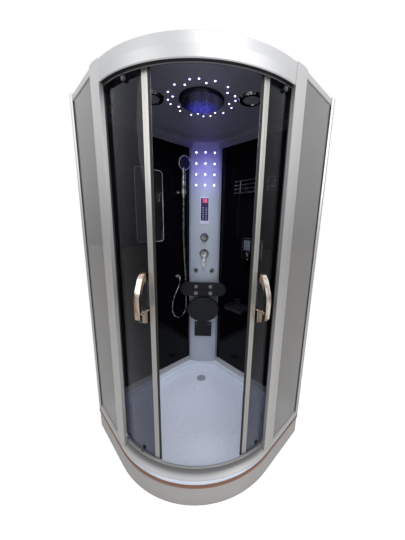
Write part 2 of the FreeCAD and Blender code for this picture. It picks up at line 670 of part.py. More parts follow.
def make_towel_rack():
    out = 68.0
    length = 350.0
    pieces = []
    for row in range(4):
        z = 26 * row
        a = Vec(0, 0, z)
        b = Vec(out - 25, 0, z)
        c = Vec(out, 25, z)
        d = Vec(out, length - 25, z)
        e = Vec(out - 25, length, z)
        f = Vec(0, length, z)
        turn_one = Part.Arc(b, Vec(out - 25 * (1 - HALF), 25 * (1 - HALF), z), c)
        turn_two = Part.Arc(d, Vec(out - 25 * (1 - HALF), length - 25 * (1 - HALF), z), e)
        path = Part.Wire([Part.LineSegment(a, b).toShape(), turn_one.toShape(), Part.LineSegment(c, d).toShape(),
                          turn_two.toShape(), Part.LineSegment(e, f).toShape()])
        circle = Part.Wire(Part.makeCircle(4, a, Vec(1, 0, 0)))
        pieces.append(path.makePipeShell([circle], True, False))
    for y in (62, 288):
        pieces.append(rod(Vec(out, y, -6), Vec(out, y, 84), 3.5))
        pieces.append(rod(Vec(0, y, 39), Vec(out, y, 39), 6))
        pieces.append(Part.makeCylinder(16, 5, Vec(0, y, 39), Vec(1, 0, 0)))
    for step in range(5):
        y = 119 + 28 * step
        pieces.append(rod(Vec(0, y, 0), Vec(out, y, 0), 2.5))
    rack = fused(pieces)
    return on_right_wall(rack, 388, 1656, WALL_IN)


def make_dispenser_body():
    case = rounded_plate(182, 150, 14, 62)
    front = [edge for edge in case.Edges if edge.BoundBox.XMin > 61]
    case = case.makeFillet(6, front)
    for y in (-45, 45):
        window = rounded_plate(56, 74, 8, 4)
        window.translate(Vec(59, y, 22))
        case = case.cut(window)
        case = case.cut(rod(Vec(30, y, -45), Vec(70, y, -45), 13 + RUNNING))
        spout = rod(Vec(46, y, -86), Vec(46, y, -70), 6)
        case = case.fuse(spout)
    return on_right_wall(case, 574, 1263, WALL_IN)


def make_dispenser_button(side):
    button = rod(Vec(44, 0, 0), Vec(70, 0, 0), 13)
    edge = [e for e in button.Edges if e.BoundBox.XMin > 69]
    button = button.makeFillet(3, edge)
    button.translate(Vec(0, 45 * side, -45))
    return on_right_wall(button, 574, 1263, WALL_IN)


def make_soap_shelf():
    tray = rounded_plate(170, 130, 12, 24)
    tray.rotate(Vec(0, 0, 0), Vec(0, 1, 0), -90)
    tray.translate(Vec(65, 0, 0))
    dish = rounded_plate(152, 112, 8, 20)
    dish.rotate(Vec(0, 0, 0), Vec(0, 1, 0), -90)
    dish.translate(Vec(65, 0, 9))
    plate = rounded_plate(60, 56, 6, 7)
    plate.translate(Vec(0, -50, 32))
    shelf = fused([tray.cut(dish), plate])
    bolts = [Part.makeCylinder(7, 5, Vec(7, -66, 48), Vec(1, 0, 0)), Part.makeCylinder(7, 5, Vec(44, -66, 9))]
    return on_right_wall(Part.makeCompound([shelf] + bolts), 470, 774, WALL_IN)


# ---------------------------------------------------------------- hand shower
HANDSET_S = 303.0
HANDSET_Z = 1668.0
PIVOT_OUT = 46.0
HANDSET_OUT = 76.0


def make_handset_bracket():
    flange = Part.makeCylinder(24, 6, Vec(WALL_IN, 0, 0), Vec(1, 0, 0))
    arm = rod(Vec(WALL_IN, 0, 0), Vec(PIVOT_OUT, 0, 0), 8)
    barrel = rod(Vec(PIVOT_OUT, -9, 0), Vec(PIVOT_OUT, 9, 0), 9)
    pin = rod(Vec(PIVOT_OUT, -15, 0), Vec(PIVOT_OUT, 15, 0), 4)
    return on_left_wall(fused([flange, arm, barrel, pin]), HANDSET_S, HANDSET_Z)


def make_cradle():
    ring = Part.makeCylinder(19, 32, Vec(HANDSET_OUT, 0, -16))
    hole = Part.makeCone(12.3, 13.6, 32, Vec(HANDSET_OUT, 0, -16))
    cheeks = []
    for y in (-13.3, 9.3):
        plate = block((PIVOT_OUT, HANDSET_OUT), (y, y + 4), (-8, 8))
        eye = rod(Vec(PIVOT_OUT, y, 0), Vec(PIVOT_OUT, y + 4, 0), 8)
        cheeks += [plate, eye]
    cradle = fused([ring] + cheeks)
    bore = rod(Vec(PIVOT_OUT, -20, 0), Vec(PIVOT_OUT, 20, 0), 4 + RUNNING)
    return on_left_wall(cradle.cut(hole).cut(bore), HANDSET_S, HANDSET_Z)


def make_handset():
    def circle(radius, z, x=HANDSET_OUT):
        return Part.Wire(Part.makeCircle(radius, Vec(x, 0, z)))
    tail = Part.makeCone(12.0, 13.2, 30, Vec(HANDSET_OUT, 0, -15.5))
    nut = Part.makeCylinder(11, 20, Vec(HANDSET_OUT, 0, -35.5))
    grip = Part.makeLoft([circle(13.2, 14.5), circle(15.5, 60), circle(14, 110), circle(16, 168, HANDSET_OUT + 2)], True, False)
    back = Part.makeCone(34, 52, 16, Vec(HANDSET_OUT - 10, 0, 208), Vec(1, 0, -0.2))
    head = Part.makeCylinder(54, 10, Vec(HANDSET_OUT + 5, 0, 205), Vec(1, 0, -0.2))
    return on_left_wall(fused([tail, nut, grip, back, head]), HANDSET_S, HANDSET_Z)


def make_wall_outlet():
    flange = Part.makeCylinder(23, 6, Vec(WALL_IN, 0, 0), Vec(1, 0, 0))
    body = rod(Vec(WALL_IN, 0, 0), Vec(40, 0, 0), 12)
    bend = Part.makeSphere(12, Vec(40, 0, 0))
    nipple = rod(Vec(40, 0, -22), Vec(40, 0, 0), 9.5)
    cap = rod(Vec(40, 0, 0), Vec(40, -14, 20), 4)
    return on_left_wall(fused([flange, body, bend, nipple, cap]), 318, 996)


# The hose route: distance along the left wall, distance out of it, height.
HOSE_RADIUS = 7.0
HOSE_ROUTE = [
    (303, 76, 1632.5), (303, 76, 1520), (302, 70, 1350), (284, 56, 1180), (262, 42, 1020), (247, 30, 870),
    (240, 27, 750), (248, 29, 676), (294, 32, 634), (350, 36, 642), (390, 39, 686), (398, 40, 750),
    (381, 40, 822), (350, 40, 880), (318, 40, 925), (318, 40, 974),
]


def make_hose():
    points = [plan(s, out, z) for s, out, z in HOSE_ROUTE]
    edges = []
    start = points[0]
    length = 0.0
    radii = []
    for before, here, after in zip(points, points[1:], points[2:]):
        back = before - here
        ahead = after - here
        shorter = min(back.Length, ahead.Length)
        turn = math.pi - back.getAngle(ahead)
        radius = 0.45 * shorter / math.tan(turn / 2)
        back.normalize()
        ahead.normalize()
        first = here + back * (0.45 * shorter)
        last = here + ahead * (0.45 * shorter)
        bisector = (back + ahead).normalize()
        reach = radius / math.cos(turn / 2) - radius
        edges.append(Part.LineSegment(start, first).toShape())
        edges.append(Part.Arc(first, here + bisector * reach, last).toShape())
        length += (first - start).Length + radius * turn
        radii.append(round(radius))
        start = last
    edges.append(Part.LineSegment(start, points[-1]).toShape())
    length += (points[-1] - start).Length
    path = Part.Wire(edges)
    circle = Part.Wire(Part.makeCircle(HOSE_RADIUS, points[0], points[1] - points[0]))
    hose = path.makePipeShell([circle], True, False)
    print("hose radii", radii, "length", round(length), "volume ratio",
          round(hose.Volume / (math.pi * HOSE_RADIUS ** 2 * length), 4))
    return hose


# ---------------------------------------------------------------- doors, drawn closed on the right side
def make_door_glass():
    sheet = ring_sector([(DOOR_INNER, DOOR_BOTTOM), (DOOR_OUTER, DOOR_BOTTOM), (DOOR_OUTER, DOOR_TOP),
                         (DOOR_INNER, DOOR_TOP)], 1.3, DOOR_SPAN)
    for angle, z in wheel_places():
        hole = on_door(rod(Vec(580, 0, z), Vec(610, 0, z), AXLE_RADIUS + 2), angle)
        sheet = sheet.cut(hole)
    return sheet


def make_door_frame():
    edge = [(588, 188), (602, 188), (602, DOOR_TOP + 2), (588, DOOR_TOP + 2)]
    profile = ring_sector(edge, 0, 2.5)
    slot = ring_sector([(DOOR_INNER - 0.2, 180), (DOOR_OUTER + 0.2, 180), (DOOR_OUTER + 0.2, 2020),
                        (DOOR_INNER - 0.2, 2020)], 1.25, 3)
    groove = ring_sector([(601, 180), (604, 180), (604, 2020), (601, 2020)], 0.9, 1.5)
    return profile.cut(slot).cut(groove)


def make_door_seal():
    fin = ring_sector([(591, 192), (599, 192), (599, DOOR_TOP), (591, DOOR_TOP)], -0.5, 0)
    lip = ring_sector([(593, 192), (597, 192), (597, DOOR_TOP), (593, DOOR_TOP)], -0.85, -0.5)
    return fin.fuse(lip)


def grip_bow(depth, base, side):
    """Bowed band in door coordinates: x outwards, y away from the leading edge, cut from a flat outline."""
    outer = [(0, 112), (0.32, 105), (0.73, 60), (0.97, 10), (1.0, -30), (0.95, -92)]
    inner = [(0.58, -60), (0.72, -35), (0.72, 5), (0.61, 40), (0.35, 66), (0, 80)]
    back = Part.BSplineCurve()
    back.interpolate([Vec(base + side * depth * x, 0, z) for x, z in outer])
    front = Part.BSplineCurve()
    front.interpolate([Vec(base + side * depth * x, 0, z) for x, z in inner])
    corners = [(0.95, -92), (0.72, -110), (-0.1, -138), (-0.1, -74), (0.58, -60)]
    points = [Vec(base + side * depth * x, 0, z) for x, z in corners]
    lines = [Part.LineSegment(a, b).toShape() for a, b in zip(points, points[1:])]
    stubs = [Vec(base, 0, 80), Vec(base - side * 6, 0, 80), Vec(base - side * 6, 0, 112), Vec(base, 0, 112)]
    lines += [Part.LineSegment(a, b).toShape() for a, b in zip(stubs, stubs[1:])]
    outline = Part.Wire(Part.__sortEdges__([back.toShape(), front.toShape()] + lines))
    band = Part.Face(outline).extrude(Vec(0, 26, 0))
    band.translate(Vec(0, 34, 0))
    post = rod(Vec(base - side * 4, 35, -66), Vec(base + side * depth * 0.8, 35, -66), 7)
    return fused([band, post])


def make_door_handle():
    outside = Part.makeCylinder(DOOR_OUTER, 800, Vec(0, 0, 700))
    inside = Part.makeCylinder(DOOR_INNER, 800, Vec(0, 0, 700))
    outer = grip_bow(71, DOOR_OUTER, 1)
    outer.translate(UP * 1108)
    inner = grip_bow(38, DOOR_INNER, -1)
    inner.translate(UP * 1108)
    outer = outer.cut(outside)
    inner = inner.common(inside)
    pair = Part.makeCompound([outer, inner])
    pair.rotate(Vec(0, 0, 0), UP, -90)
    pair.translate(TRACK_CENTRE)
    return pair


def wheel_places():
    return [(angle, z) for angle in (WHEEL_FRONT, WHEEL_REAR) for z in (WHEEL_LOW, WHEEL_HIGH)]


def make_roller_mounts():
    mounts = []
    for angle, z in wheel_places():
        pieces = [
            rod(Vec(589, 0, z), Vec(DOOR_INNER - 0.15, 0, z), 12),
            rod(Vec(DOOR_INNER - 0.15, 0, z), Vec(DOOR_OUTER, 0, z), 5),
            rod(Vec(DOOR_OUTER, 0, z), Vec(603.6, 0, z), 6.5),
            rod(Vec(603.6, 0, z), Vec(611.7, 0, z), AXLE_RADIUS),
            rod(Vec(611.7, 0, z), Vec(612.5, 0, z), 5),
        ]
        mounts.append(on_door(fused(pieces), angle))
    return Part.makeCompound(mounts)


def make_wheel(angle, z):
    half = 3.75
    middle = TRACK_RADIUS
    outline = [(middle - half, AXLE_RADIUS + RUNNING), (middle - half, WHEEL_RADIUS - 1), (middle - half + 1, WHEEL_RADIUS),
               (middle - 1.9, WHEEL_RADIUS), (middle - 1.5, GROOVE_RADIUS), (middle + 1.5, GROOVE_RADIUS),
               (middle + 1.9, WHEEL_RADIUS), (middle + half - 1, WHEEL_RADIUS), (middle + half, WHEEL_RADIUS - 1),
               (middle + half, AXLE_RADIUS + RUNNING)]
    wheel = face_of([Vec(x, 0, r) for x, r in outline]).revolve(Vec(0, 0, 0), Vec(1, 0, 0), 360)
    wheel.translate(UP * z)
    return on_door(wheel, angle)


def export_doors():
    pieces = {
        "door_glass": make_door_glass(),
        "door_frame": make_door_frame(),
        "door_seal": make_door_seal(),
        "door_handle": make_door_handle(),
        "roller_mounts": make_roller_mounts(),
    }
    names = ["wheel_low_front", "wheel_high_front", "wheel_low_rear", "wheel_high_rear"]
    for name, (angle, z) in zip(names, wheel_places()):
        pieces[name] = make_wheel(angle, z)
    for name, closed in pieces.items():
        right = closed.copy()
        right.rotate(TRACK_CENTRE, UP, RIGHT_OPEN)
        export(name + "_right", right)
        left = closed.copy()
        left.rotate(TRACK_CENTRE, UP, LEFT_OPEN)
        export(name + "_left", mirrored(left))


# ---------------------------------------------------------------- build
export("tray", make_tray())
export("apron_panel", make_apron())
export("trim_strip", make_trim())
export("base_frame", make_base_frame())
export("drain_trap", make_drain_trap())
export("drain_cover", make_drain_cover())
export("wall_glass", make_wall_glass())
export("glass_rails", make_rails())
export("column_shell", make_column())
export("led_lamps", make_led_lamps())
export("control_panel", make_control_panel())
export("control_keypad", make_control_keypad())
export("valve_and_jet_rings", make_rings())
export("plumbing", make_plumbing())
export("steam_generator", make_steam_generator())
export("backrest", make_backrest())
export("seat_bracket", make_seat_bracket())
export("seat_pin", make_seat_pin())
export("seat", make_seat())
export("diverter_knob", make_diverter_knob())
export("mixer_hub", make_mixer_hub())
export("mixer_lever", make_mixer_lever())
export("rear_uprights", make_uprights())
export("front_pillars", make_pillars())
export("side_glass", make_side_glass())
export("glazing_gaskets", make_gaskets())
export("header", make_header())
export("bottom_rail", make_bottom_rail())
export("roof_panel", make_roof())
export("overhead_shower", make_overhead_shower())
export("ceiling_lamps", make_ceiling_lamps())
export("mirror", make_mirror())
export("towel_rack", make_towel_rack())
export("dispenser_body", make_dispenser_body())
export("dispenser_button_near", make_dispenser_button(-1))
export("dispenser_button_far", make_dispenser_button(1))
export("soap_shelf", make_soap_shelf())
export("handset_bracket", make_handset_bracket())
export("handset_cradle", make_cradle())
export("handset", make_handset())
export("wall_outlet", make_wall_outlet())
export("hose", make_hose())
export_doors()
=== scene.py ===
# %% [markdown]
# # A corner steam shower cabin
# The cabin stands in a corner of a room: a white tray with a curved apron, an aluminium frame, two curved
# sliding doors, glossy black back walls and a silver column with the controls.  The solids come from the
# part's own source, which gives their exact shapes, so nothing of them is modelled again here.  This lesson
# gives them their finishes and adds the small pieces that make them real.

# %% Load the frame
import math

import bmesh
import bpy
from mathutils import Matrix, Vector


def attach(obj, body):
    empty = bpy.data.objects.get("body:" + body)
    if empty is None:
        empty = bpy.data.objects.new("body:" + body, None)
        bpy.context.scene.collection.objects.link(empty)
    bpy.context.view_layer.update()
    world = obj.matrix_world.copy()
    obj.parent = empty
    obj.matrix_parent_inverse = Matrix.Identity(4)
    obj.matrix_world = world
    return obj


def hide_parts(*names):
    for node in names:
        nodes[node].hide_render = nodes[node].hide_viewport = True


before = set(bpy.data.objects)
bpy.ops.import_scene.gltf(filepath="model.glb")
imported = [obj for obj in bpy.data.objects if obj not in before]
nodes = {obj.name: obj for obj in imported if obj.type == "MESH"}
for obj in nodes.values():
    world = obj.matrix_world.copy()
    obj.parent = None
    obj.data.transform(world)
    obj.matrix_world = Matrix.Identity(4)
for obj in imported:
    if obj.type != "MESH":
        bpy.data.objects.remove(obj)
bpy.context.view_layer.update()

# %% [markdown]
# ## The camera
# The photograph is a wide view from in front of the doors, a little above half height, looking slightly
# down.  A camera could be placed by eye, but then no edge of the render would lie over the photograph's.
# Here the straight edges of the cabin gave its place, its three angles and its focal length in pixels.

# %% Camera
EYE = (0.0903, -1.44465, 1.4446)
YAW, PITCH, ROLL = math.radians(-0.6), math.radians(-11.8), math.radians(1.3)
PICTURE_WIDTH, PICTURE_HEIGHT = 405, 540
FOCAL_PIXELS = 220.0
CENTRE_X, CENTRE_Y = 212.1, 268.3
SENSOR = 36

forward = Vector((math.sin(YAW) * math.cos(PITCH), math.cos(YAW) * math.cos(PITCH), math.sin(PITCH)))
level = Vector((math.cos(YAW), -math.sin(YAW), 0))
upward = level.cross(forward)
right = level * math.cos(ROLL) + upward * math.sin(ROLL)
top = -level * math.sin(ROLL) + upward * math.cos(ROLL)
lens = bpy.data.cameras.new("camera")
lens.sensor_width = SENSOR
lens.lens = FOCAL_PIXELS / PICTURE_HEIGHT * SENSOR
lens.shift_x = (PICTURE_WIDTH / 2 - CENTRE_X) / PICTURE_HEIGHT
lens.shift_y = (CENTRE_Y - PICTURE_HEIGHT / 2) / PICTURE_HEIGHT
camera = bpy.data.objects.new("camera", lens)
axes = Matrix((right, top, -forward)).transposed().to_4x4()
camera.matrix_world = Matrix.Translation(EYE) @ axes
bpy.context.scene.collection.objects.link(camera)
bpy.context.scene.camera = camera
bpy.context.scene.view_settings.view_transform = "Standard"
print("focal length", round(lens.lens, 2), "mm")

# %% [markdown]
# ## Adding nodes
# Every material below is built from nodes.  A node takes one line to add and one more for each value, so
# three short functions do both, and the cells below show only what connects to what.

# %% Node helpers
def set_sockets(node, sockets):
    """Plain values for sockets; a _ in a name stands for a space."""
    for socket, value in sockets.items():
        node.inputs[socket.replace("_", " ")].default_value = value


def add(tree, kind, operation=None, **sockets):
    """A new node of a tree, with its operation and plain values."""
    node = tree.nodes.new("ShaderNode" + kind)
    if operation:
        node.operation = operation
    set_sockets(node, sockets)
    return node


def math_node(tree, operation, second=0.0):
    """A Math node; its sockets share one name, so the second is set by its place."""
    node = add(tree, "Math", operation)
    node.inputs[1].default_value = second
    return node


# %% [markdown]
# ## The studio
# The cabin stands before plain white.  A bright surround alone would wash it out, so the surround answers
# each kind of ray in its own way.  The camera sees it white, also through glass.  Metal mirrors a grey one
# that brightens upwards, and matt surfaces are lit by a quieter one, so colours render about as written.

# %% World
WHITE = (1, 1, 1)
world = bpy.data.worlds.new("studio")
bpy.context.scene.world = world
world.use_nodes = True
sky = world.node_tree
sky.nodes.clear()
sky_ray = add(sky, "LightPath")
sky_result = add(sky, "OutputWorld")


def surround(colour, strength=1.0):
    """A background of one colour and strength."""
    return add(sky, "Background", Color=(*colour, 1), Strength=strength)


def brighter_upwards(shade, low, high):
    """The strength of a surround rises with the height that a ray points to."""
    ahead = add(sky, "TexCoord")
    parts = add(sky, "SeparateXYZ")
    scale = add(sky, "MapRange", From_Min=-0.2, From_Max=0.4, To_Min=low, To_Max=high)
    sky.links.new(ahead.outputs["Generated"], parts.inputs[0])
    sky.links.new(parts.outputs["Z"], scale.inputs["Value"])
    sky.links.new(scale.outputs[0], shade.inputs["Strength"])
    return shade


def choose(signal, otherwise, chosen):
    """Rays with the signal meet what is chosen, all other rays what is otherwise."""
    pick = add(sky, "MixShader")
    sky.links.new(sky_ray.outputs[signal], pick.inputs[0])
    sky.links.new(otherwise, pick.inputs[1])
    sky.links.new(chosen, pick.inputs[2])
    return pick.outputs[0]


mirrored = brighter_upwards(surround((0.95, 0.97, 1.0)), 0.16, 1.05)
light = choose("Is Glossy Ray", surround((1, 0.99, 0.98), 0.40).outputs[0], mirrored.outputs[0])
for signal in ("Is Transmission Ray", "Is Camera Ray"):
    light = choose(signal, light, surround(WHITE).outputs[0])
sky.links.new(light, sky_result.inputs[0])
print("surround", len(sky.nodes), "nodes")


# %% [markdown]
# ## Studio lamps
# Three round lamps light the cabin from the left, from the right and from above the front.  Small lamps
# would draw hard shadows across the tray; wide ones give the soft light of a showroom.

# %% Lamps
def soft_lamp(name, place, aim, size, watts, colour=WHITE):
    """A round lamp that faces its aim; it lights through glass without being seen through it."""
    lamp = bpy.data.lights.new(name, "AREA")
    lamp.shape = "DISK"
    lamp.size = size
    lamp.energy = watts
    lamp.color = colour
    holder = bpy.data.objects.new(name, lamp)
    holder.location = place
    holder.rotation_euler = (Vector(aim) - Vector(place)).to_track_quat("-Z", "Y").to_euler()
    holder.visible_transmission = False
    bpy.context.scene.collection.objects.link(holder)
    print(name, watts, "W")
    return holder


soft_lamp("lamp_left", (-2.6, -2.8, 2.8), (0, 0, 1.0), 2.2, 18)
soft_lamp("lamp_right", (2.4, -3.0, 2.6), (0, 0, 1.0), 2.0, 33)
soft_lamp("lamp_front", (0.5, -2.1, 3.2), (0, 0.1, 1.2), 1.4, 13)

# %% [markdown]
# ## Floor
# The cabin needs a ground to throw its shadow on.  One large square is enough.

# %% Floor
FLOOR_REACH = 12
floor_mesh = bpy.data.meshes.new("floor")
bm = bmesh.new()
bmesh.ops.create_grid(bm, x_segments=1, y_segments=1, size=FLOOR_REACH)
bm.to_mesh(floor_mesh)
bm.free()
floor = bpy.data.objects.new("floor", floor_mesh)
bpy.context.scene.collection.objects.link(floor)
print("floor", 2 * FLOOR_REACH, "m wide")

# %% [markdown]
# ## A worn surface with painted reflections, built once
# Every real finish varies a little from place to place.  Each material could have noise of its own, but one
# shader group keeps them alike, and a finish then gives only its values.  Slow noise moves the colour
# between two tones: softly as real wear, or with more contrast, where it paints reflections into the colour
# of chrome.  A finer one moves the roughness and is the height of a bump.

# %% The shared surface group
surface = bpy.data.node_groups.new("wear_and_painted_reflections", "ShaderNodeTree")
for direction, kind, labels in (
        ("INPUT", "Vector", ("Vector",)),
        ("INPUT", "Color", ("Tone", "Second tone")),
        ("INPUT", "Float", ("Patch size", "Contrast", "Grain size", "Roughness", "Spread")),
        ("OUTPUT", "Color", ("Colour",)),
        ("OUTPUT", "Float", ("Roughness", "Height"))):
    for label in labels:
        surface.interface.new_socket(name=label, in_out=direction, socket_type="NodeSocket" + kind)
given = surface.nodes.new("NodeGroupInput")
result = surface.nodes.new("NodeGroupOutput")
patches = add(surface, "TexNoise", Detail=4)
grains = add(surface, "TexNoise", Detail=2)
tones = add(surface, "Mix")
tones.data_type = "RGBA"
around = math_node(surface, "SUBTRACT", 0.5)
sharper = math_node(surface, "MULTIPLY")
again = math_node(surface, "ADD", 0.5)
centred = math_node(surface, "SUBTRACT", 0.5)
spread_out = math_node(surface, "MULTIPLY")
total = math_node(surface, "ADD")
for source, target in (
        (given.outputs["Vector"], patches.inputs["Vector"]),
        (given.outputs["Vector"], grains.inputs["Vector"]),
        (given.outputs["Patch size"], patches.inputs["Scale"]),
        (given.outputs["Grain size"], grains.inputs["Scale"]),
        (patches.outputs["Fac"], around.inputs[0]),
        (around.outputs[0], sharper.inputs[0]),
        (given.outputs["Contrast"], sharper.inputs[1]),
        (sharper.outputs[0], again.inputs[0]),
        (again.outputs[0], tones.inputs["Factor"]),
        (given.outputs["Tone"], tones.inputs["A"]),
        (given.outputs["Second tone"], tones.inputs["B"]),
        (grains.outputs["Fac"], centred.inputs[0]),
        (centred.outputs[0], spread_out.inputs[0]),
        (given.outputs["Spread"], spread_out.inputs[1]),
        (spread_out.outputs[0], total.inputs[0]),
        (given.outputs["Roughness"], total.inputs[1]),
        (tones.outputs["Result"], result.inputs["Colour"]),
        (total.outputs[0], result.inputs["Roughness"]),
        (grains.outputs["Fac"], result.inputs["Height"])):
    surface.links.new(source, target)
print("worn surface", len(surface.nodes), "nodes")


# %% [markdown]
# ## Finishes from the group
# A finish is a Principled material round the shared group, on Object coordinates, so that its pattern stays
# with a piece that moves.  Each gives two tones, the roughness, how far that spreads, and how fine the
# patches and the grain are.

# %% Finish and wear
def finish(name, tone, second, rough, spread, patch, grain, stretch=(1, 1, 1), bump=0.05, depth=0.0005,
           contrast=1.0, **fixed):
    """A material from the shared group; fixed holds Principled sockets that are the same all over."""
    material = bpy.data.materials.new(name)
    material.use_nodes = True
    tree = material.node_tree
    shader = tree.nodes["Principled BSDF"]
    place = add(tree, "TexCoord")
    scale = add(tree, "Mapping", Scale=stretch)
    group = add(tree, "Group")
    group.node_tree = surface
    set_sockets(group, {"Tone": (*tone, 1), "Second tone": (*second, 1), "Patch size": patch, "Contrast": contrast,
                        "Grain size": grain, "Roughness": rough, "Spread": spread})
    relief = add(tree, "Bump", Strength=bump, Distance=depth)
    tree.links.new(place.outputs["Object"], scale.inputs["Vector"])
    tree.links.new(scale.outputs["Vector"], group.inputs["Vector"])
    tree.links.new(group.outputs["Colour"], shader.inputs["Base Color"])
    tree.links.new(group.outputs["Roughness"], shader.inputs["Roughness"])
    tree.links.new(group.outputs["Height"], relief.inputs["Height"])
    tree.links.new(relief.outputs["Normal"], shader.inputs["Normal"])
    set_sockets(shader, fixed)
    return material


def wear(material, *names):
    """Puts a material on CAD nodes."""
    for name in names:
        for slot in nodes[name].material_slots:
            slot.material = material
    print(material.name, "on", len(names), "nodes")


# %% [markdown]
# ## Floor finish
# The floor is plain and pale, and keeps the cabin's shadow.  More light would whiten it and the cabin alike.
# So a glow lifts it towards white only where the camera sees it, directly or through glass, and it meets the
# surround without an edge.  Metal mirrors it darker.

# %% Floor material
def whiten(material, strength, mirrored_share):
    """Adds a white glow for the camera, directly or through glass, and a share of it for mirrors."""
    tree = material.node_tree
    ray = add(tree, "LightPath")
    glow = add(tree, "Emission", Color=(1, 1, 1, 1), Strength=strength)
    nothing = add(tree, "BsdfTransparent", Color=(0, 0, 0, 1))
    pick = add(tree, "MixShader")
    both = add(tree, "AddShader")
    seen = math_node(tree, "MAXIMUM")
    share = math_node(tree, "MULTIPLY_ADD", mirrored_share)
    for source, target in (
            (ray.outputs["Is Camera Ray"], seen.inputs[0]),
            (ray.outputs["Is Transmission Ray"], seen.inputs[1]),
            (ray.outputs["Is Glossy Ray"], share.inputs[0]),
            (seen.outputs[0], share.inputs[2]),
            (share.outputs[0], pick.inputs[0]),
            (nothing.outputs[0], pick.inputs[1]),
            (glow.outputs[0], pick.inputs[2]),
            (tree.nodes["Principled BSDF"].outputs[0], both.inputs[0]),
            (pick.outputs[0], both.inputs[1]),
            (both.outputs[0], tree.nodes["Material Output"].inputs["Surface"])):
        tree.links.new(source, target)


floor_paint = finish("studio_floor", (0.80, 0.80, 0.80), (0.77, 0.77, 0.78), 0.8, 0.05, 0.6, 30, bump=0.02,
                     Specular_IOR_Level=0.1)
whiten(floor_paint, 0.68, 0.15)
floor_mesh.materials.append(floor_paint)

# %% [markdown]
# ## Shade on the rails
# The header's track lies in the shade of its edge, and the bottom rail darkens from its top to its foot.
# Such narrow gaps would need many more samples of light, so two functions dim the colour instead: one by
# the way that a face points, the other by its height.

# %% Two ways to dim a colour
def dim(material, share):
    """Multiplies the colour of a finish by a share that other nodes give."""
    tree = material.node_tree
    base = tree.nodes["Principled BSDF"].inputs["Base Color"]
    shade = add(tree, "VectorMath", "MULTIPLY")
    tree.links.new(base.links[0].from_socket, shade.inputs[0])
    tree.links.new(share, shade.inputs[1])
    tree.links.new(shade.outputs[0], base)


def darker_below(material, share):
    """Faces that point down show only a share of the colour, like a track in the shade."""
    tree = material.node_tree
    place = add(tree, "TexCoord")
    parts = add(tree, "SeparateXYZ")
    facing_down = add(tree, "MapRange", From_Min=-0.95, From_Max=-0.6, To_Min=share, To_Max=1.0)
    tree.links.new(place.outputs["Normal"], parts.inputs[0])
    tree.links.new(parts.outputs["Z"], facing_down.inputs["Value"])
    dim(material, facing_down.outputs[0])


def shade_by_height(material, low, high, stops):
    """The share of the colour that shows runs through stops from one height to another."""
    tree = material.node_tree
    place = add(tree, "TexCoord")
    parts = add(tree, "SeparateXYZ")
    height = add(tree, "MapRange", From_Min=low, From_Max=high)
    ramp = add(tree, "ValToRGB")
    elements = ramp.color_ramp.elements
    for i, (position, share) in enumerate(stops):
        stop = elements[i] if i < len(elements) else elements.new(position)
        stop.position = position
        stop.color = (share, share, share, 1)
    tree.links.new(place.outputs["Object"], parts.inputs[0])
    tree.links.new(parts.outputs["Z"], height.inputs["Value"])
    tree.links.new(height.outputs[0], ramp.inputs["Fac"])
    dim(material, ramp.outputs["Color"])


# %% [markdown]
# ## Aluminium
# The frame is anodised aluminium, and its fine brushing runs along each profile.  A picture of scratches
# would show seams at the corners, so the noise is stretched instead: along Z for the posts, and flat for
# the rails.

# %% Aluminium
ALONG_POSTS, ALONG_RAILS = (3, 3, 0.06), (0.06, 0.06, 3)
BRUSHED = {"bump": 0.12, "depth": 0.0003}

upright_alu = finish("satin_aluminium_upright", (0.58, 0.57, 0.555), (0.66, 0.65, 0.64), 0.36, 0.12, 2, 160,
                     ALONG_POSTS, Metallic=0.8, **BRUSHED)
profile_alu = finish("satin_aluminium_profile", (0.46, 0.445, 0.425), (0.54, 0.525, 0.50), 0.34, 0.12, 2, 160,
                     ALONG_POSTS, Metallic=0.8, **BRUSHED)
header_alu = finish("satin_aluminium_header", (0.62, 0.62, 0.625), (0.68, 0.68, 0.69), 0.40, 0.12, 2, 160,
                    ALONG_RAILS, Metallic=0.55, **BRUSHED)
rail_alu = finish("satin_aluminium_rail", (0.66, 0.655, 0.65), (0.74, 0.735, 0.73), 0.34, 0.12, 2, 160,
                  ALONG_RAILS, Metallic=0.8, **BRUSHED)
column_alu = finish("column_silver", (0.43, 0.455, 0.51), (0.49, 0.52, 0.57), 0.42, 0.1, 3, 200,
                    (3, 3, 0.05), 0.1, 0.0003, Metallic=0.35)
darker_below(header_alu, 0.06)
shade_by_height(rail_alu, 0.142, 0.197, ((0.0, 1.0), (0.28, 0.85), (0.55, 0.36), (0.88, 0.22), (0.93, 0.62)))
wear(upright_alu, "rear_uprights", "front_pillars", "glass_rails")
wear(profile_alu, "door_frame_left", "door_frame_right")
wear(header_alu, "header")
wear(rail_alu, "bottom_rail")
wear(column_alu, "column_shell")
